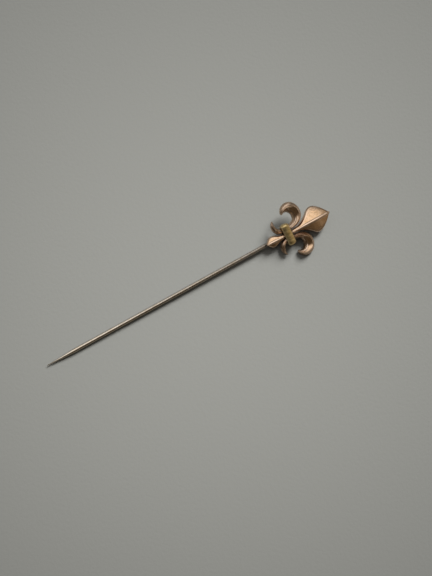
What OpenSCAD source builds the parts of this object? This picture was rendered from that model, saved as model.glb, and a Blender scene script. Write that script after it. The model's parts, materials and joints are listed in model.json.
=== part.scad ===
// Gold stick pin with a fleur-de-lis, lying on a flat surface as it comes to rest.
// The surface is z = 0. X runs along the stem towards the top of the flower, Y to the flower's left.
// The flower is drawn in a frame of its own: x up the flower, y to its left, z out of its face,
// with the stem's axis as the x axis and x = 0 at the flower's waist. at_rest() lays it down.

/* [Stem] */
// Diameter of the wire
stem_d = 0.7; // [0.6:0.05:1.0]
// Length of wire from the waist to the sharp end
stem_reach = 48; // [40:0.5:60]
// Length of the sharpened end
point_l = 5; // [3:0.5:8]
// Diameter left at the very end of the point
tip_d = 0.12; // [0.08:0.02:0.2]
// Depth to which the wire is filed down all round where it lies behind the flower
seat_cut = 0.03; // [0.01:0.01:0.15]
// Distance from the waist to where the filing starts
seat_reach = 5.1; // [5.1:0.1:6]
// Length over which the wire slopes down to its filed size
seat_slope = 0.6; // [0.55:0.05:0.65]
// Length of wire that runs on behind the centre leaf
stem_back = 1.7; // [1:0.1:2]

/* [Leaves] */
// Height of the rim around each side leaf
rim_h = 0.55; // [0.46:0.01:0.6]
// How far the rim leans in from the edge of the back to its top
rim_lean = 0.22; // [0.1:0.01:0.25]
// Share by which the two facets of the centre leaf slope down from its crest
facet_slope = 0.37; // [0.3:0.01:0.4]
// Clearance between neighbouring pieces
gap = 0.04; // [0.03:0.01:0.06]

/* [Collar] */
// Length of the collar along the flower
collar_l = 1.4; // [1.2:0.05:1.5]
// Thickness of the half-round strap at its middle
collar_t = 0.42; // [0.34:0.02:0.6]
// Thickness of the strap at its two edges
collar_edge = 0.12; // [0.1:0.02:0.2]
// Half the width of the bundle of leaves that the collar grips
grip_w = 1.52; // [1.46:0.02:1.6]
// Thickness of the bundle of leaves that the collar grips
grip_h = 0.92; // [0.92:0.02:1.1]
// Inner radius of the collar's four corners
corner_r = 0.15; // [0.1:0.05:0.4]

/* [Hidden] */

rose_gold = [0.86, 0.66, 0.50];
yellow_gold = [0.72, 0.62, 0.38];
pin_gold = [0.80, 0.66, 0.47];

stem_r = stem_d / 2;
seat_r = stem_r - seat_cut;
tip_r = tip_d / 2;
// Height of the leaves' flat backs over the stem's axis, and the middle of the collar
back_z = seat_r + gap;
collar_x = -0.3;

// Centre leaf, from its lower tip to its top: place, half width, height of the crest
LEAF_X = 0;
LEAF_HALF = 1;
LEAF_CREST = 2;
centre_rows = [
    [-4.42, 0.05, 0.40],
    [-4.00, 0.66, 0.66],
    [-3.40, 1.05, 0.82],
    [-2.70, 0.96, 0.87],
    [-1.90, 0.60, 0.86],
    [-1.00, 0.40, 0.86],
    [0.20, 0.40, 0.87],
    [1.30, 0.44, 0.95],
    [2.20, 0.60, 1.06],
    [3.00, 0.98, 1.16],
    [3.80, 1.58, 1.23],
    [4.60, 2.26, 1.27],
    [5.40, 2.46, 1.26],
    [6.20, 2.16, 1.20],
    [7.00, 1.50, 1.11],
    [7.55, 0.82, 1.04],
    [7.96, 0.08, 0.97]
];

// Side leaf, from the tip of its scroll over the top, down through the collar and out to the tip of
// its foot. Outer edge, crest and inner edge, each as a distance out and a height up the flower,
// then how high the crest and the rim stand over the flat back
EDGE_OUT = 0;
EDGE_UP = 1;
CREST_OUT = 2;
CREST_UP = 3;
INNER_OUT = 4;
INNER_UP = 5;
CREST = 6;
RIM = 7;
scroll_rows = [
    [3.52, 0.12, 3.49, 0.22, 3.44, 0.36, 0.30, 0.20],
    [4.00, 0.10, 3.82, 0.36, 3.58, 0.62, 0.62, 0.40],
    [4.80, 0.66, 4.22, 0.98, 3.55, 1.10, 0.95, rim_h],
    [5.12, 1.76, 4.29, 1.78, 3.30, 1.42, 1.06, rim_h],
    [4.66, 2.86, 3.88, 2.64, 2.96, 1.64, 1.08, rim_h],
    [3.44, 3.57, 2.98, 3.00, 2.63, 1.70, 1.08, rim_h],
    [2.08, 3.53, 2.02, 2.79, 2.25, 1.68, 1.08, rim_h],
    [1.02, 2.76, 1.32, 2.18, 1.85, 1.50, 1.04, rim_h],
    [0.58, 1.68, 0.94, 1.42, 1.59, 1.04, 0.97, rim_h],
    [0.46, 0.40, 0.79, 0.40, 1.42, 0.36, 0.87, rim_h],
    [0.49, -1.02, 0.88, -0.98, 1.42, -0.90, 0.84, rim_h],
    [0.84, -1.98, 1.28, -1.68, 1.70, -1.42, 0.78, 0.50],
    [1.66, -2.47, 1.97, -1.98, 2.22, -1.68, 0.67, 0.42],
    [2.60, -2.43, 2.68, -2.02, 2.76, -1.73, 0.51, 0.32],
    [3.30, -1.90, 3.25, -1.81, 3.20, -1.72, 0.28, 0.18]
];
row_steps = 5;
arc_steps = 6;
strap_steps = 8;

// A smooth curve through the rows of a table, as more rows
function nearest_row(rows, i) = rows[max(0, min(len(rows) - 1, i))];
function between(a, b, c, d, t) =
    b + (c - a) * t / 2
    + (2 * a - 5 * b + 4 * c - d) * t * t / 2
    + (3 * b - a - 3 * c + d) * t * t * t / 2;
function smooth(rows) = concat(
    [for (i = [0 : len(rows) - 2], s = [0 : row_steps - 1])
        between(nearest_row(rows, i - 1), rows[i], rows[i + 1], nearest_row(rows, i + 2), s / row_steps)],
    [rows[len(rows) - 1]]
);

// Section of a leaf: a flat back, a rim on each side that leans in a little, and a roof with a crest.
// Right and left are those of the way that the rows run. Where the leaf narrows to a tip, the rim
// leans in by no more than a share of the way to the crest.
largest_lean = 0.35;
function leaning(edge, crest) =
    edge + (crest - edge) * min(largest_lean, rim_lean / norm(crest - edge));
function leaf_section(right, crest, left, crest_h, rim) =
    let (right_top = leaning(right, crest), left_top = leaning(left, crest))
    [
        [right[0], right[1], back_z],
        [right_top[0], right_top[1], back_z + rim],
        [crest[0], crest[1], back_z + crest_h],
        [left_top[0], left_top[1], back_z + rim],
        [left[0], left[1], back_z]
    ];
function centre_section(row) = leaf_section(
    [row[LEAF_X], -row[LEAF_HALF]],
    [row[LEAF_X], 0],
    [row[LEAF_X], row[LEAF_HALF]],
    row[LEAF_CREST],
    row[LEAF_CREST] - facet_slope * row[LEAF_HALF]
);
function side_section(row) = leaf_section(
    [row[INNER_UP], row[INNER_OUT]],
    [row[CREST_UP], row[CREST_OUT]],
    [row[EDGE_UP], row[EDGE_OUT]],
    row[CREST],
    row[RIM]
);

centre_sections = [for (row = smooth(centre_rows)) centre_section(row)];
scroll_sections = [for (row = smooth(scroll_rows)) side_section(row)];

// The collar goes round four corners of the leaves and, behind them, round the stem.
// Each bend: centre out, centre up, inner radius, first and last direction of its arc
low_corner = [grip_w + gap - corner_r, back_z - gap + corner_r];
high_corner = [low_corner[0], back_z + grip_h + gap - corner_r];
round_stem_r = seat_r + gap;
// Direction in which the strap leaves the stem for the leaves: both bends share one tangent
strap_turn = acos((round_stem_r - corner_r) / norm(low_corner))
    - atan2(low_corner[1], low_corner[0]);
bends = [
    [0, 0, round_stem_r, strap_turn - 180, -strap_turn],
    [low_corner[0], low_corner[1], corner_r, -strap_turn, 0],
    [high_corner[0], high_corner[1], corner_r, 0, 90],
    [-high_corner[0], high_corner[1], corner_r, 90, 180],
    [-low_corner[0], low_corner[1], corner_r, 180, 180 + strap_turn]
];

// Half-round section of the strap: place along the flower, distance out from the leaves
strap_section = concat(
    [[-collar_l / 2, 0]],
    [for (i = [0 : strap_steps])
        let (a = 180 - 180 * i / strap_steps)
        [collar_l / 2 * cos(a), collar_edge + (collar_t - collar_edge) * sin(a)]],
    [[collar_l / 2, 0]]
);
collar_sections = [
    for (bend = bends, i = [0 : arc_steps])
        let (a = bend[3] + (bend[4] - bend[3]) * i / arc_steps)
        [for (s = strap_section)
            [collar_x + s[0], bend[0] + (bend[2] + s[1]) * cos(a), bend[1] + (bend[2] + s[1]) * sin(a)]]
];

// Rest: the stem lies on the edge of its sharpened end, the collar on its rounded back,
// and the flower rolls to its right until the edge of the right scroll touches.
collar_back_r = round_stem_r + collar_t;
incline = atan((collar_back_r - stem_r) / (stem_reach - point_l + collar_x));
function roll_to_touch(p) =
    let (drop = collar_back_r + (p[0] - collar_x) * tan(incline))
    drop >= norm([p[1], p[2]]) ? 90 : asin(drop / norm([p[1], p[2]])) + atan2(p[2], p[1]);
roll = min([for (s = scroll_sections, p = s) roll_to_touch(p)]);
function laid(p) =
    let (up = p[1] * sin(roll) + p[2] * cos(roll))
    [
        p[0] * cos(incline) - up * sin(incline),
        p[1] * cos(roll) - p[2] * sin(roll),
        p[0] * sin(incline) + up * cos(incline)
    ];
laid_points = concat(
    [for (s = centre_sections, p = s) laid(p)],
    [for (s = scroll_sections, p = s) laid(p)],
    [for (s = scroll_sections, p = s) laid([p[0], -p[1], p[2]])],
    [laid([-stem_reach, 0, 0])]
);
function middle(axis) =
    (min([for (p = laid_points) p[axis]]) + max([for (p = laid_points) p[axis]])) / 2;
floor_z = collar_x * sin(incline) - collar_back_r * cos(incline);

module at_rest() {
    translate([-middle(0), -middle(1), -floor_z])
        rotate([roll, -incline, 0])
            children();
}

// A solid through a list of sections, each with the same number of points.
// ring joins the last section to the first, otherwise both ends are closed.
module skin(sections, ring = false) {
    n = len(sections[0]);
    m = len(sections);
    walls = [
        for (i = [0 : ring ? m - 1 : m - 2], j = [0 : n - 1], half = [0, 1])
            let (a = i * n + j, b = i * n + (j + 1) % n)
            let (c = ((i + 1) % m) * n + (j + 1) % n, d = ((i + 1) % m) * n + j)
            half == 0 ? [a, b, c] : [a, c, d]
    ];
    ends = ring ? [] : [[for (j = [n - 1 : -1 : 0]) j], [for (j = [0 : n - 1]) (m - 1) * n + j]];
    polyhedron([for (s = sections) each s], concat(walls, ends));
}

// Tall middle leaf with its spear-shaped foot below the collar
module centre_leaf() {
    color(rose_gold)
        at_rest()
            skin(centre_sections);
}

// Side leaf that curls over at the top and out at the foot
module left_scroll() {
    color(rose_gold)
        at_rest()
            skin(scroll_sections);
}

// Its mirror image on the other side, which carries the flower's rolled edge
module right_scroll() {
    color(rose_gold)
        at_rest()
            mirror([0, 1, 0])
                skin(scroll_sections);
}

// Half-round strap wrapped round the waist of the flower and the stem
module collar() {
    color(yellow_gold)
        at_rest()
            skin(collar_sections, ring = true);
}

// Round wire, sharpened at the free end, filed down behind the flower and blunted at its hidden end
module pin_stem() {
    color(pin_gold)
        at_rest()
            rotate([0, 90, 0])
                rotate_extrude($fn = 64)
                    polygon([
                        [0, -stem_reach],
                        [tip_r, -stem_reach + tip_r],
                        [stem_r, -stem_reach + point_l],
                        [stem_r, -seat_reach],
                        [seat_r, -seat_reach + seat_slope],
                        [seat_r, stem_back - seat_r / 2],
                        [seat_r / 2, stem_back],
                        [0, stem_back]
                    ]);
}

centre_leaf();
left_scroll();
right_scroll();
collar();
pin_stem();
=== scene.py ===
import json
import math

import bmesh
import bpy
from mathutils import Matrix, Vector
from mathutils.bvhtree import BVHTree

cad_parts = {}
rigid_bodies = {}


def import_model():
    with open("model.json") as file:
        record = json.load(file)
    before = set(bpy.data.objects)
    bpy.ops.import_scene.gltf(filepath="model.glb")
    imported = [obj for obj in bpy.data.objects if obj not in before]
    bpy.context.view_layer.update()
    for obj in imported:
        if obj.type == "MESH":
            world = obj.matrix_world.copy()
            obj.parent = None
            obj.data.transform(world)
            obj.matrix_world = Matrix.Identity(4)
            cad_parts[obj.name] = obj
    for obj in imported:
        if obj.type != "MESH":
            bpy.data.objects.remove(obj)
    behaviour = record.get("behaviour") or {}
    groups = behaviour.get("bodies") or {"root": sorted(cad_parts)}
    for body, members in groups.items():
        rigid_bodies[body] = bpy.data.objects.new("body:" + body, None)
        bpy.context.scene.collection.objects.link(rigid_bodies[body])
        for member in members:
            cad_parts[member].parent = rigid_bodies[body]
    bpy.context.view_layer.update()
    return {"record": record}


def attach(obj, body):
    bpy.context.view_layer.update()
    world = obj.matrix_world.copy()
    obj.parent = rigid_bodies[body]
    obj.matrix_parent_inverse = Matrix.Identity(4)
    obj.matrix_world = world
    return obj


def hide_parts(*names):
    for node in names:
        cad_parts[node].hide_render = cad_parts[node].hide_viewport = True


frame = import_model()


# Camera
# The pin is seen from close above, almost straight down, and turned so that it runs up to the right.
# The lens is a phone's: at a distance of 27.06, the long side of the picture takes in 36.
LOOKS_AT = Vector((0.00417, -0.00226, 0.0))
DISTANCE = 0.07684
AZIMUTH = math.radians(-77.48)
ELEVATION = math.radians(86.97)
CAMERA_TURN = math.radians(48.61)
SENSOR = 36.0
LENS = 27.06
NEAREST_SEEN = 0.001
FURTHEST_SEEN = 10.0

backwards = Vector((
    math.cos(ELEVATION) * math.sin(AZIMUTH),
    -math.cos(ELEVATION) * math.cos(AZIMUTH),
    math.sin(ELEVATION),
))
sideways = Vector((0, 0, 1)).cross(backwards).normalized()
turned = Matrix((sideways, backwards.cross(sideways), backwards)).transposed().to_4x4()
turned = turned @ Matrix.Rotation(CAMERA_TURN, 4, "Z")

camera = bpy.data.objects.new("camera", bpy.data.cameras.new("camera"))
camera.data.sensor_width = SENSOR
camera.data.lens = LENS
camera.data.clip_start = NEAREST_SEEN
camera.data.clip_end = FURTHEST_SEEN
camera.matrix_world = Matrix.Translation(LOOKS_AT + backwards * DISTANCE) @ turned
bpy.context.scene.collection.objects.link(camera)
bpy.context.scene.camera = camera


# Light
# The gold mirrors a room that is dark and warm but for a broad soft window beyond the pin's left side
# and a dimmer glow beyond the top of the flower. The sheet is lit by a large soft lamp beyond the top
# left of the flower, which isn't mirrored and casts the pin's shadow to its right.
ROOM_DARK = (0.062, 0.050, 0.034, 1.0)
WINDOW = (0.97, 0.97, 0.96, 1.0)
GLOW = (0.38, 0.33, 0.26, 1.0)
# Their soft edges: an axis of the direction, where the light starts on it and where it is full
WINDOW_EDGES = (("Y", -0.1, 0.34), ("X", -1.05, -0.6), ("X", 0.72, 0.36), ("Z", -0.4, 0.9))
GLOW_EDGES = (("X", -0.1, 0.8), ("Y", -1.3, -0.6), ("Y", 0.3, 0.0), ("Z", -0.04, 0.3))
# The lamp is an oval panel with its width in line with the wire
LAMP_PLACE = Vector((0.75, 0.45, 0.54))
LAMP_WIDTH = 0.8
LAMP_HEIGHT = 0.4
LAMP_WATTS = 45.0
LAMP_COLOUR = (1.0, 0.99, 0.975)


def add_node(owner, kind, settings=None, links=None):
    """A node of that kind in a material or world, its sockets and properties set, its inputs linked.

    A link from None is left out, and its socket keeps what the settings give it.
    """
    node = owner.node_tree.nodes.new(kind)
    for name, value in (settings or {}).items():
        if isinstance(name, str) and hasattr(node, name):
            setattr(node, name, value)
        else:
            node.inputs[name].default_value = value
    for name, output in (links or {}).items():
        if output:
            owner.node_tree.links.new(output, node.inputs[name])
    return node


bpy.context.scene.view_settings.view_transform = "Standard"
room = bpy.data.worlds.new("room")
room.use_nodes = True
bpy.context.scene.world = room
direction = add_node(room, "ShaderNodeTexCoord").outputs["Generated"]
axes = add_node(room, "ShaderNodeSeparateXYZ", links={0: direction}).outputs
colour = None
for light, edges in ((GLOW, GLOW_EDGES), (WINDOW, WINDOW_EDGES)):
    share = None
    for axis, starts, full in edges:
        edge = add_node(
            room,
            "ShaderNodeMapRange",
            {"interpolation_type": "SMOOTHSTEP", "From Min": starts, "From Max": full},
            {"Value": axes[axis]},
        ).outputs["Result"]
        share = add_node(
            room, "ShaderNodeMath", {"operation": "MULTIPLY", 0: 1.0}, {0: share, 1: edge}
        ).outputs[0]
    colour = add_node(
        room, "ShaderNodeMix", {"data_type": "RGBA", 6: ROOM_DARK, 7: light}, {0: share, 6: colour}
    ).outputs[2]
room.node_tree.links.new(colour, room.node_tree.nodes["Background"].inputs["Color"])

lamp = bpy.data.objects.new("window_lamp", bpy.data.lights.new("window_lamp", "AREA"))
lamp.data.shape = "ELLIPSE"
lamp.data.size = LAMP_WIDTH
lamp.data.size_y = LAMP_HEIGHT
lamp.data.energy = LAMP_WATTS
lamp.data.color = LAMP_COLOUR
facing = Vector((0, LAMP_PLACE.y, LAMP_PLACE.z)).to_track_quat("Z", "Y").to_matrix().to_4x4()
lamp.matrix_world = Matrix.Translation(LAMP_PLACE) @ facing
lamp.visible_glossy = False
bpy.context.scene.collection.objects.link(lamp)


# Surface that the pin lies on
# A sheet of matt grey paper, large enough to reach past the picture and into every reflection. Being
# uncoated, it gives the eye a soft grey without any gloss, with a faint grain from its fibres, and its
# grey is painted darker away from one place, as a painted falloff of the light.
MM = 0.001
PAPER_SIZE = 1.5
PAPER_GREY = "6F706D"
PAPER_PAINTED_DARK = "1E1E1E"
PAPER_ROUGHNESS = 0.9
# The painted pool of light is centred there, and that far from it the painted falloff takes the sheet
# halfway to its darkest
PAINTED_LIGHT_CENTRE = (-0.0035, -0.0038, 0.0)
PAINTED_HALF_DARK_AT = 0.095
# Its fibres are finer than the picture shows, so they are drawn a little coarser
FIBRE_SIZE = 0.6 * MM
FIBRE_RISE = 0.02 * MM
FIBRE_DETAIL = 4.0


def hex_colour(code):
    """An sRGB colour such as E8B48C, as the linear values that a shader takes"""
    channels = [int(code[i:i + 2], 16) / 255 for i in (0, 2, 4)]
    linear = [c / 12.92 if c <= 0.04045 else ((c + 0.055) / 1.055) ** 2.4 for c in channels]
    return (*linear, 1.0)


def new_material(name):
    """An empty material, with its Principled shader ready to be set"""
    material = bpy.data.materials.new(name)
    material.use_nodes = True
    return material, material.node_tree.nodes["Principled BSDF"]


bm = bmesh.new()
bmesh.ops.create_grid(bm, x_segments=1, y_segments=1, size=PAPER_SIZE / 2)
paper = bpy.data.objects.new("paper", bpy.data.meshes.new("paper"))
bm.to_mesh(paper.data)
bm.free()
bpy.context.scene.collection.objects.link(paper)

matt_paper, shader = new_material("matt_grey_paper")
place = add_node(matt_paper, "ShaderNodeTexCoord").outputs["Object"]
# Painted falloff: the grey is mixed towards the far dark by the distance from the painted pool of light
away = add_node(
    matt_paper, "ShaderNodeVectorMath", {"operation": "DISTANCE", 1: PAINTED_LIGHT_CENTRE}, {0: place}
).outputs["Value"]
squared = add_node(
    matt_paper, "ShaderNodeMath", {"operation": "MULTIPLY"}, {0: away, 1: away}
).outputs[0]
further = add_node(
    matt_paper, "ShaderNodeMath", {"operation": "ADD", 1: PAINTED_HALF_DARK_AT ** 2}, {0: squared}
).outputs[0]
painted_falloff = add_node(
    matt_paper, "ShaderNodeMath", {"operation": "DIVIDE"}, {0: squared, 1: further}
).outputs[0]
painted_paper_tone = add_node(
    matt_paper,
    "ShaderNodeMix",
    {"data_type": "RGBA", 6: hex_colour(PAPER_GREY), 7: hex_colour(PAPER_PAINTED_DARK)},
    {0: painted_falloff},
).outputs[2]
matt_paper.node_tree.links.new(painted_paper_tone, shader.inputs["Base Color"])
fibres = add_node(
    matt_paper,
    "ShaderNodeTexNoise",
    {"Scale": 1 / FIBRE_SIZE, "Detail": FIBRE_DETAIL},
    {"Vector": place},
).outputs["Fac"]
raised = add_node(
    matt_paper, "ShaderNodeBump", {"Distance": FIBRE_RISE, "Strength": 1.0}, {"Height": fibres}
).outputs[0]
matt_paper.node_tree.links.new(raised, shader.inputs["Normal"])
shader.inputs["Roughness"].default_value = PAPER_ROUGHNESS
paper.data.materials.append(matt_paper)


# Middle leaf
# A tall spear-shaped leaf with a small spear-shaped foot, cast in rose gold and soldered to the wire.
# Its back is flat, a low wall runs round it, and two broad facets meet in a crest along the middle,
# with a fine line cut on each side of it.

# The flower is drawn in millimetres in a frame of its own: x up the flower along the wire's axis, y to
# its left, z out of its face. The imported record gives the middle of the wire's even part, which is
# this far from the flower's waist, and the flower has rolled to its right by this angle.
WIRE_MIDDLE = 24.05
FLOWER_ROLL = math.radians(12.9876)
# Height of the leaves' flat backs over the wire's axis
BACK = 0.36
# The wall round a leaf leans in by this much, but at most by that share of the way to the crest
WALL_LEAN = 0.22
LARGEST_LEAN = 0.35
RIM_ROUND = 0.06
RIM_STEPS = 3
ROW_STEPS = 8
# Points closer than this are merged
SAME_POINT = 0.0001
# Rows at each tip that keep sharp edges
LEAF_SHARP_ROWS = 4
# Both facets of the leaf slope down from its crest by the same share of the way
FACET_SLOPE = 0.37
# The cut lines: height over the facet at some distances from the crest, and last on the crest itself
CUT_LINES = ((0.38, 0.0), (0.32, 0.0), (0.27, -0.03), (0.22, 0.0), (0.04, 0.0), (0.0, -0.008))
# Lines on a facet that is narrower than this are smaller in the same measure
FULL_SIZE = 0.8
# Place along the leaf, half width, height of the crest over the flat back
LEAF_ROWS = [
    (-4.42, 0.05, 0.40),
    (-4.00, 0.66, 0.66),
    (-3.40, 1.05, 0.82),
    (-2.70, 0.96, 0.87),
    (-1.90, 0.60, 0.86),
    (-1.00, 0.40, 0.86),
    (0.20, 0.40, 0.87),
    (1.30, 0.44, 0.95),
    (2.20, 0.60, 1.06),
    (3.00, 0.98, 1.16),
    (3.80, 1.58, 1.23),
    (4.60, 2.26, 1.27),
    (5.40, 2.46, 1.26),
    (6.20, 2.16, 1.20),
    (7.00, 1.50, 1.11),
    (7.55, 0.82, 1.04),
    (7.96, 0.08, 0.97),
]
# An edge that turns by this much from face to face is worn and painted quite bright as a highlight,
# and dirt and painted shade lie in a hollow that turns by the angles between these two
WORN_AND_HIGHLIT_ANGLE = math.radians(16)
CREASE_DIRT_AND_SHADE_ANGLES = (math.radians(30), math.radians(70))

wire = frame["record"]["mounts"][0]
to_point = Vector(wire["axis"])
waist = Vector(wire["pos_m"]) - to_point * WIRE_MIDDLE * MM
incline = math.atan2(-to_point.z, -to_point.x)
AT_REST = (
    Matrix.Translation(waist)
    @ Matrix.Rotation(-incline, 4, "Y")
    @ Matrix.Rotation(FLOWER_ROLL, 4, "X")
    @ Matrix.Scale(MM, 4)
)


def smooth_rows(rows):
    """More rows, on a smooth curve through the given ones"""
    rows = [Vector(row) for row in rows]
    smooth = []
    for i in range(len(rows) - 1):
        a, b, c, d = rows[max(i - 1, 0)], rows[i], rows[i + 1], rows[min(i + 2, len(rows) - 1)]
        for step in range(ROW_STEPS):
            t = step / ROW_STEPS
            smooth.append(
                b + (c - a) * t / 2
                + (2 * a - 5 * b + 4 * c - d) * t * t / 2
                + (3 * b - a - 3 * c + d) * t * t * t / 2
            )
    return smooth + [rows[-1]]


def leaf_section(left, crest, right, crest_height, rim, crest_line, rim_line=(), hollow=0.0):
    """Section of a leaf: its points from the left edge of the back over the crest to the right edge.

    rim is the height of the walls, crest_line and rim_line are the lines along crest and rims, and
    hollow is how far a facet is hollowed out between them, or less if it is under 1 mm wide.
    """
    crest = Vector((*crest, BACK + crest_height))
    sides, sizes = [], []
    for edge in (Vector((*left, BACK)), Vector((*right, BACK))):
        lean = min(LARGEST_LEAN, WALL_LEAN / (crest - edge).xy.length)
        rim_top = Vector((*edge.lerp(crest, lean).xy, BACK + rim))
        facet = rim_top - crest
        down = facet.normalized()
        size = min(1, facet.length / FULL_SIZE)
        rim_points = [rim_top] + [
            rim_top - down * way * size + Vector((0, 0, rise * size)) for way, rise in rim_line
        ]
        crest_points = [
            crest + down * way * size + Vector((0, 0, rise * size)) for way, rise in crest_line[:-1]
        ]
        halfway = (rim_points[-1] + crest_points[0]) / 2
        halfway.z -= hollow * min(1, facet.length)
        sides.append([edge] + rim_points + [halfway] + crest_points)
        sizes.append(size)
    crest.z += crest_line[-1][1] * sum(sizes) / 2
    return sides[0] + [crest] + sides[1][::-1]


def leaf_mesh(sections, sharp_rows):
    """A leaf drawn out from section to section, closed at both ends, its rims rounded.

    The rounding stops sharp_rows short of the tips.
    """
    bm = bmesh.new()
    ring = [bm.verts.new(point) for point in sections[0]]
    edges = [bm.edges.new(pair) for pair in zip(ring, ring[1:] + ring[:1])]
    bmesh.ops.contextual_create(bm, geom=edges)
    lines = [[] for _ in ring]
    for section in sections[1:]:
        made = bmesh.ops.extrude_edge_only(bm, edges=edges)["geom"]
        new = set(v for v in made if isinstance(v, bmesh.types.BMVert))
        across = [next(e for e in v.link_edges if e.other_vert(v) in new) for v in ring]
        for line, edge in zip(lines, across):
            line.append(edge)
        ring = [edge.other_vert(v) for edge, v in zip(across, ring)]
        for v, point in zip(ring, section):
            v.co = point
        edges = [bm.edges.get(pair) for pair in zip(ring, ring[1:] + ring[:1])]
    bmesh.ops.contextual_create(bm, geom=edges)
    # The foot and the top of the wall, on both sides
    rims = [edge for i in (0, 1, -2, -1) for edge in lines[i][sharp_rows:-sharp_rows]]
    bmesh.ops.bevel(
        bm,
        geom=rims,
        offset=RIM_ROUND,
        offset_type="OFFSET",
        segments=RIM_STEPS,
        profile=0.5,
        affect="EDGES",
        material=-1,
    )
    # Where the rounding ends, some of its points meet
    bmesh.ops.remove_doubles(bm, verts=bm.verts[:], dist=SAME_POINT)
    return bm


def follow_crest(bm, sections):
    """Gives each point its way along the crest, its way out from it and its height, for patterns"""
    grain = bm.verts.layers.float_vector.new("grain")
    crest = [section[len(section) // 2] for section in sections]
    so_far = [0]
    for a, b in zip(crest, crest[1:]):
        so_far.append(so_far[-1] + (b - a).length)
    for v in bm.verts:
        i = min(range(len(crest)), key=lambda i: (v.co - crest[i]).xy.length)
        way = (crest[min(i + 1, len(crest) - 1)] - crest[max(i - 1, 0)]).xy.normalized()
        out = (v.co - crest[i]).xy
        v[grain] = (so_far[i] + out.dot(way), out.cross(way), v.co.z - BACK)


def share_of_way(value, none, full):
    """How far a value is on its way from none to full, from 0 to 1"""
    return min(1, max(0, (value - none) / (full - none)))


def place_piece(name, bm, material):
    """Makes the finished mesh a piece of the object, laid where the flower rests"""
    bmesh.ops.recalc_face_normals(bm, faces=bm.faces[:])
    grain = bm.verts.layers.float_vector.get("grain")
    if not grain:
        grain = bm.verts.layers.float_vector.new("grain")
        for v in bm.verts:
            v[grain] = v.co
    worn_and_highlit = bm.verts.layers.float.new("worn_and_highlit")
    hollow = bm.verts.layers.float.new("hollow")
    # Convex edges get worn and painted paler as a highlight, and creases get dirt and painted shade
    for v in bm.verts:
        turns = [edge.calc_face_angle_signed(0) for edge in v.link_edges]
        v[worn_and_highlit] = share_of_way(max(turns), 0, WORN_AND_HIGHLIT_ANGLE)
        v[hollow] = share_of_way(-min(turns), *CREASE_DIRT_AND_SHADE_ANGLES)
    bmesh.ops.transform(bm, matrix=AT_REST, verts=bm.verts[:])
    for face in bm.faces:
        face.smooth = True
    piece = bpy.data.objects.new(name + "_piece", bpy.data.meshes.new(name + "_piece"))
    bm.to_mesh(piece.data)
    bm.free()
    bpy.context.scene.collection.objects.link(piece)
    piece.data.materials.append(material)
    piece.modifiers.new("even_shading", "WEIGHTED_NORMAL")
    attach(piece, "root")
    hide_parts(name)


# Worn gold has cloudy tones and soft dents, specks, marks and a brown film, of tarnish and dirt and of
# painted shade: how large they are in millimetres, and how finely broken up
CLOUD_SIZE = 0.9
CLOUD_DETAIL = 3.0
DENT_DEPTH = 0.012
SPECK_SIZE = 0.25
SPECK_DETAIL = 2.0
MARK_DETAIL = 3.0
# The brown of the film, for tarnish and dirt and for painted shade alike
TARNISH_AND_SHADE_BROWN = "1E130A"
FILM_ROUGHNESS = 0.35
# The dirt and painted shade are drawn that much stronger than the film's share
TARNISH_AND_SHADE_STRENGTH = 1.25
# Two values of a pattern or attribute, and what it gives at the first and at the second: the clouds
# and the rubbed edges to the tone, which is paler on the edges as wear and as a painted highlight, the
# specks and the marks to the dirt, the rubbed edges to how much of the dirt and painted shade stays,
# and the marks to the roughness. The dirt in the marks is for each millimetre of their depth, and their
# roughness is a share of the gold's own.
CLOUD_TONE = (0.38, 0.62, 0.0, 1.0)
EDGE_WEAR_AND_HIGHLIGHT_TONE = (0.2, 1.0, 0.0, 0.8)
SPECK_DIRT = (0.35, 0.65, -0.15, 0.12)
MARK_DIRT = (0.35, 0.6, 5.0, 0.0)
EDGE_DIRT = (0.3, 1.0, 1.0, 0.25)
MARK_ROUGHNESS = (0.3, 0.7, 0.75, 1.3)


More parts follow.
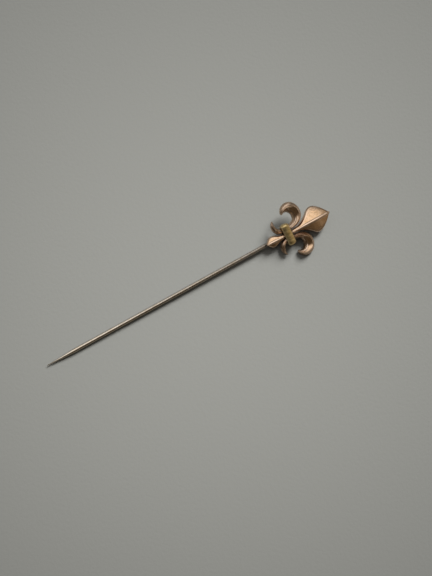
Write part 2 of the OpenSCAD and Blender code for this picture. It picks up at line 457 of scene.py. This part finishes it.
def aged_gold(name, fresh, deep, worn_and_highlit, roughness, mark_length, mark_spacing, mark_depth):
    """Gold that has been worn for long, with marks from its making that run one way.

    fresh and deep are the two tones of its face, and worn_and_highlit that of its edges, which are
    paler as wear and as a painted highlight. Its brown darkening is tarnish and painted shade. The
    marks are measured in millimetres.
    """
    material, shader = new_material(name)
    grain = add_node(material, "ShaderNodeAttribute", {"attribute_name": "grain"}).outputs["Vector"]
    tarnish_and_shade = add_node(material, "ShaderNodeAttribute", {"attribute_name": "tarnish_and_shade"}).outputs["Fac"]
    edges = add_node(material, "ShaderNodeAttribute", {"attribute_name": "worn_and_highlit"}).outputs["Fac"]

    noises = []
    for size, detail, stretch in (
        (CLOUD_SIZE, CLOUD_DETAIL, 1.0),
        (SPECK_SIZE, SPECK_DETAIL, 1.0),
        (mark_spacing, MARK_DETAIL, mark_spacing / mark_length),
    ):
        scaled = add_node(
            material, "ShaderNodeVectorMath", {"operation": "MULTIPLY", 1: (stretch, 1, 1)}, {0: grain}
        ).outputs[0]
        noise = add_node(
            material, "ShaderNodeTexNoise", {"Scale": 1 / size, "Detail": detail}, {"Vector": scaled}
        )
        noises.append(noise.outputs["Fac"])
    clouds, specks, marks = noises

    ranges = []
    for value, (start, end, at_start, at_end), scale in (
        (clouds, CLOUD_TONE, 1.0),
        (edges, EDGE_WEAR_AND_HIGHLIGHT_TONE, 1.0),
        (specks, SPECK_DIRT, 1.0),
        (marks, MARK_DIRT, mark_depth),
        (edges, EDGE_DIRT, 1.0),
        (marks, MARK_ROUGHNESS, roughness),
    ):
        settings = {
            "From Min": start,
            "From Max": end,
            "To Min": at_start * scale,
            "To Max": at_end * scale,
        }
        moved = add_node(material, "ShaderNodeMapRange", settings, {"Value": value})
        ranges.append(moved.outputs["Result"])
    cloud_tone, edge_wear_and_highlight, speck_dirt, mark_dirt, dirt_and_shade_kept, rough = ranges

    # The film's share, tarnish and painted shade, with the dirt of the specks and marks, and less of it
    # on rubbed edges
    dirt_and_shade = add_node(
        material,
        "ShaderNodeMath",
        {"operation": "MULTIPLY_ADD", 1: TARNISH_AND_SHADE_STRENGTH, "use_clamp": True},
        {0: tarnish_and_shade, 2: speck_dirt},
    ).outputs[0]
    dirt_and_shade = add_node(
        material, "ShaderNodeMath", {"operation": "ADD", "use_clamp": True}, {0: dirt_and_shade, 1: mark_dirt}
    ).outputs[0]
    dirt_and_shade = add_node(
        material, "ShaderNodeMath", {"operation": "MULTIPLY"}, {0: dirt_and_shade, 1: dirt_and_shade_kept}
    ).outputs[0]

    # The face's tones: clouds, edges painted paler as wear and highlight, and brown for dirt, tarnish
    # and painted shade
    colour = None
    for share, over in ((cloud_tone, fresh), (edge_wear_and_highlight, worn_and_highlit), (dirt_and_shade, TARNISH_AND_SHADE_BROWN)):
        colour = add_node(
            material,
            "ShaderNodeMix",
            {"data_type": "RGBA", 6: hex_colour(deep), 7: hex_colour(over)},
            {0: share, 6: colour},
        ).outputs[2]
    material.node_tree.links.new(colour, shader.inputs["Base Color"])
    rough = add_node(
        material,
        "ShaderNodeMath",
        {"operation": "MULTIPLY_ADD", 1: FILM_ROUGHNESS},
        {0: dirt_and_shade, 2: rough},
    ).outputs[0]
    material.node_tree.links.new(rough, shader.inputs["Roughness"])
    shader.inputs["Metallic"].default_value = 1.0

    normal = None
    for height, depth in ((clouds, DENT_DEPTH), (marks, mark_depth)):
        normal = add_node(
            material,
            "ShaderNodeBump",
            {"Distance": depth * MM, "Strength": 1.0},
            {"Height": height, "Normal": normal},
        ).outputs[0]
    material.node_tree.links.new(normal, shader.inputs["Normal"])
    return material


# Rose gold of about 14 carat, cast and polished by hand. It gives the eye a warm, faintly pink metal
# with soft but clear reflections, in cloudy tones, and paler along its rubbed edges, as wear and as a
# painted highlight. Its polishing marks are far finer than the picture shows, so they are drawn coarser
# and hardly deep.
rose_gold = aged_gold(
    "polished_rose_gold",
    fresh="F7D0AA",
    deep="E6BC92",
    worn_and_highlit="FBDFCA",
    roughness=0.13,
    mark_length=3.0,
    mark_spacing=0.3,
    mark_depth=0.005,
)

leaf_sections = [
    leaf_section((x, half), (x, 0), (x, -half), crest, crest - FACET_SLOPE * half, CUT_LINES)
    for x, half, crest in smooth_rows(LEAF_ROWS)
]
bm = leaf_mesh(leaf_sections, LEAF_SHARP_ROWS)
follow_crest(bm, leaf_sections)
place_piece("centre_leaf", bm, rose_gold)


# Side leaves
# A pair of leaves that curl over at the top into a scroll and out at the foot, cast in rose gold and
# held beside the middle leaf by the collar. A low round bead runs along the crest of each, a line is
# cut inside its rims, and its facets are hollow. The right one mirrors the left.
SCROLL_SHARP_ROWS = 6
WALL = 0.55
# The bead: height over the facet at some distances from the crest, and last on the crest itself
BEAD = ((0.26, 0.0), (0.20, 0.0), (0.13, 0.035), (0.06, 0.055), (0.0, 0.06))
# The cut line: height over the facet at some distances from the top of the wall
RIM_LINE = ((0.06, 0.0), (0.12, 0.0), (0.22, -0.06), (0.32, 0.0), (0.4, 0.0))
HOLLOW = 0.07
# From the tip of the scroll to the tip of the foot: distance out and height up the flower of the
# outer edge, the crest and the inner edge, then the height of the crest and of the wall
SCROLL_ROWS = [
    (3.52, 0.12, 3.49, 0.22, 3.44, 0.36, 0.30, 0.20),
    (4.00, 0.10, 3.82, 0.36, 3.58, 0.62, 0.62, 0.40),
    (4.80, 0.66, 4.22, 0.98, 3.55, 1.10, 0.95, WALL),
    (5.12, 1.76, 4.29, 1.78, 3.30, 1.42, 1.06, WALL),
    (4.66, 2.86, 3.88, 2.64, 2.96, 1.64, 1.08, WALL),
    (3.44, 3.57, 2.98, 3.00, 2.63, 1.70, 1.08, WALL),
    (2.08, 3.53, 2.02, 2.79, 2.25, 1.68, 1.08, WALL),
    (1.02, 2.76, 1.32, 2.18, 1.85, 1.50, 1.04, WALL),
    (0.58, 1.68, 0.94, 1.42, 1.59, 1.04, 0.97, WALL),
    (0.46, 0.40, 0.79, 0.40, 1.42, 0.36, 0.87, WALL),
    (0.49, -1.02, 0.88, -0.98, 1.42, -0.90, 0.84, WALL),
    (0.84, -1.98, 1.28, -1.68, 1.70, -1.42, 0.78, 0.50),
    (1.66, -2.47, 1.97, -1.98, 2.22, -1.68, 0.67, 0.42),
    (2.60, -2.43, 2.68, -2.02, 2.76, -1.73, 0.51, 0.32),
    (3.30, -1.90, 3.25, -1.81, 3.20, -1.72, 0.28, 0.18),
]

for name, side in (("left_scroll", 1), ("right_scroll", -1)):
    scroll_sections = []
    for out_e, up_e, out_c, up_c, out_i, up_i, crest, wall in smooth_rows(SCROLL_ROWS):
        edge, top, inner = (up_e, side * out_e), (up_c, side * out_c), (up_i, side * out_i)
        scroll_sections.append(leaf_section(edge, top, inner, crest, wall, BEAD, RIM_LINE, HOLLOW))
    bm = leaf_mesh(scroll_sections, SCROLL_SHARP_ROWS)
    follow_crest(bm, scroll_sections)
    place_piece(name, bm, rose_gold)


# Collar
# A half-round strap of paler, greener gold. It is bent round the leaves and, behind them, round the
# wire, its ends are joined there, and it holds the flower together.
COLLAR_LENGTH = 1.4
COLLAR_MIDDLE = -0.3
COLLAR_THICK = 0.42
COLLAR_EDGE = 0.12
# Half the width of the leaves that it grips and their height over the flat backs, and the gap that
# stands in for solder
GRIP_HALF = 1.52
GRIP_HEIGHT = 0.92
CLEARANCE = 0.04
# Radius of its inner corners, and of the wire that it grips
CORNER = 0.15
SEAT_RADIUS = 0.32
STRAP_STEPS = 16
BEND_STEPS = 14

# Yellow gold with more silver in it, filed across the strap and only softly polished after. It gives
# the eye a pale, greenish metal with a satin sheen, streaked by file marks with dirt in them. Real
# file marks are finer than the picture shows, so they are drawn coarser.
yellow_gold = aged_gold(
    "filed_yellow_gold",
    fresh="FBE0A2",
    deep="E8C67E",
    worn_and_highlit="FCEEC6",
    roughness=0.30,
    mark_length=3.0,
    mark_spacing=0.36,
    mark_depth=0.06,
)

low_corner = Vector((0, GRIP_HALF + CLEARANCE - CORNER, BACK - CLEARANCE + CORNER))
high_corner = Vector((0, low_corner.y, BACK + GRIP_HEIGHT + CLEARANCE - CORNER))
round_wire = SEAT_RADIUS + CLEARANCE
# Direction in which the strap leaves the wire for the leaves, on one tangent of both bends
strap_turn = math.acos((round_wire - CORNER) / low_corner.length)
strap_turn -= math.atan2(low_corner.z, low_corner.y)
# Each bend: its centre, its inner radius, and the first and last direction of its arc
bends = [
    (Vector((0, 0, 0)), round_wire, strap_turn - math.pi, -strap_turn),
    (low_corner, CORNER, -strap_turn, 0),
    (high_corner, CORNER, 0, math.pi / 2),
    (high_corner * Vector((1, -1, 1)), CORNER, math.pi / 2, math.pi),
    (low_corner * Vector((1, -1, 1)), CORNER, math.pi, math.pi + strap_turn),
]
middle = Vector((COLLAR_MIDDLE, 0, 0))


def outwards(angle):
    """Direction at that angle in the plane across the wire"""
    return Vector((0, math.cos(angle), math.sin(angle)))


bm = bmesh.new()
centre, radius, start, end = bends[0]
# Half-round section: place along the wire and distance from the strap's inner face
outline = []
for step in range(STRAP_STEPS + 1):
    angle = math.pi * step / STRAP_STEPS
    thick = COLLAR_EDGE + (COLLAR_THICK - COLLAR_EDGE) * math.sin(angle)
    outline.append((COLLAR_LENGTH / 2 * math.cos(angle), thick))
outline += [(-COLLAR_LENGTH / 2, 0), (COLLAR_LENGTH / 2, 0)]
section = [
    bm.verts.new(middle + centre + Vector((along, 0, 0)) + outwards(start) * (radius + thick))
    for along, thick in outline
]
strap = section + [bm.edges.new(pair) for pair in zip(section, section[1:] + section[:1])]
for i, (centre, radius, start, end) in enumerate(bends):
    spun = bmesh.ops.spin(
        bm, geom=strap, cent=middle + centre, axis=(1, 0, 0), angle=end - start, steps=BEND_STEPS
    )
    next_centre, next_radius, next_start, _ = bends[(i + 1) % len(bends)]
    straight = (next_centre + outwards(next_start) * next_radius) - (centre + outwards(end) * radius)
    edges = [e for e in spun["geom_last"] if isinstance(e, bmesh.types.BMEdge)]
    drawn = bmesh.ops.extrude_edge_only(bm, edges=edges)["geom"]
    verts = [v for v in drawn if isinstance(v, bmesh.types.BMVert)]
    bmesh.ops.translate(bm, verts=verts, vec=straight)
    edges = [e for e in drawn if isinstance(e, bmesh.types.BMEdge) and set(e.verts) <= set(verts)]
    strap = verts + edges
bmesh.ops.remove_doubles(bm, verts=bm.verts[:], dist=SAME_POINT)
place_piece("collar", bm, yellow_gold)


# Wire
# The stem of the pin: round drawn gold wire, ground to a long sharp point at one end. Behind the
# flower it is filed a little thinner and soldered to the middle leaf, and its end is hidden there.
WIRE_RADIUS = 0.35
TIP_RADIUS = 0.06
WIRE_REACH = 48.0
POINT_LENGTH = 5.0
SEAT_REACH = 5.1
SEAT_SLOPE = 0.6
WIRE_BACK = 1.7
WIRE_SIDES = 64

# Pale gold wire, drawn through a die and polished. It gives the eye one bright line along its top,
# clear and nearly white, with faint lines from the die along it. Those are finer than the picture
# shows, so they are drawn coarser.
drawn_gold = aged_gold(
    "drawn_gold_wire",
    fresh="FAEEDE",
    deep="F0DEC6",
    worn_and_highlit="FAF0E4",
    roughness=0.13,
    mark_length=6.0,
    mark_spacing=0.25,
    mark_depth=0.004,
)

# Place along the axis and radius, from the point to the end behind the flower
profile = [
    (-WIRE_REACH, 0),
    (-WIRE_REACH + TIP_RADIUS, TIP_RADIUS),
    (-WIRE_REACH + POINT_LENGTH, WIRE_RADIUS),
    (-SEAT_REACH, WIRE_RADIUS),
    (-SEAT_REACH + SEAT_SLOPE, SEAT_RADIUS),
    (WIRE_BACK - SEAT_RADIUS / 2, SEAT_RADIUS),
    (WIRE_BACK, SEAT_RADIUS / 2),
    (WIRE_BACK, 0),
]
bm = bmesh.new()
line = [bm.verts.new((x, radius, 0)) for x, radius in profile]
line += [bm.edges.new(pair) for pair in zip(line, line[1:])]
bmesh.ops.spin(
    bm, geom=line, cent=(0, 0, 0), axis=(1, 0, 0), angle=math.tau, steps=WIRE_SIDES, use_merge=True
)
bmesh.ops.remove_doubles(bm, verts=bm.verts[:], dist=SAME_POINT)
place_piece("pin_stem", bm, drawn_gold)


# Tarnish and painted shade
# The pin has been worn for long: a dark brown film of tarnish, together with painted shade, stays low
# on the walls of the leaves, in their creases and in the narrow gaps between the pieces, where no cloth
# reaches. On the flanks of the wire, next to the flower's foot and on the collar's half towards the
# point, the film is painted shade only.
# Within this distance of another piece, the gap gets tarnish and painted shade
GAP_TARNISH_AND_SHADE = 0.45
# Height over the flat back at which the tarnish and painted shade low on the walls end on the middle
# leaf and on the side leaves, and the tarnish's share on the faces of the side leaves, whose hollows
# are rubbed less than the middle leaf's flat facets
LEAF_TARNISH_AND_SHADE_HEIGHT = 0.58
SIDE_TARNISH_AND_SHADE_HEIGHT = 0.74
SIDE_FILM = 0.06
# Painted shade on the collar's half towards the point, darkest at its edge there
COLLAR_PAINTED_SHADE = 0.45
# Painted shade on the wire: on the flanks, which start and are fully dark where their outward direction
# points upwards by these shares, and all round next to the flower's foot, between these two places
WIRE_PAINTED_SHADE = 0.6
WIRE_SHADED_FLANKS = (0.78, 0.48)
WIRE_FOOT_SHADE = (-6.0, -4.9)

pieces = [obj for obj in bpy.data.objects if obj.name.endswith("_piece")]
for piece in pieces:
    trees = [
        BVHTree.FromPolygons([v.co for v in obj.data.vertices], [f.vertices for f in obj.data.polygons])
        for obj in pieces
        if obj is not piece
    ]
    grain = [tuple(point.vector) for point in piece.data.attributes["grain"].data]
    hollow = [point.value for point in piece.data.attributes["hollow"].data]
    tarnish_and_shade = piece.data.attributes.new("tarnish_and_shade", "FLOAT", "POINT")
    for v in piece.data.vertices:
        along, _, height = grain[v.index]
        gap = min(tree.find_nearest(v.co)[3] for tree in trees) / MM
        # On the collar: painted shade on its half towards the point
        if piece.name == "collar_piece":
            left = COLLAR_PAINTED_SHADE * share_of_way(along, COLLAR_MIDDLE, COLLAR_MIDDLE - COLLAR_LENGTH / 2)
        # On the wire: painted shade on its flanks and next to the flower's foot
        elif piece.name == "pin_stem_piece":
            flank_shade = share_of_way(v.normal.z, *WIRE_SHADED_FLANKS)
            left = WIRE_PAINTED_SHADE * max(flank_shade, share_of_way(along, *WIRE_FOOT_SHADE))
        # On the middle leaf: tarnish and painted shade low on the walls
        elif piece.name == "centre_leaf_piece":
            left = share_of_way(height, LEAF_TARNISH_AND_SHADE_HEIGHT, 0)
        # On the side leaves: tarnish and painted shade low on the walls, and some tarnish on their
        # faces
        else:
            left = max(SIDE_FILM, share_of_way(height, SIDE_TARNISH_AND_SHADE_HEIGHT, 0))
        # The film is the largest of these, of the dirt and painted shade in creases, and of the tarnish
        # and painted shade in gaps
        tarnish_and_shade.data[v.index].value = max(left, hollow[v.index], share_of_way(gap, GAP_TARNISH_AND_SHADE, 0))
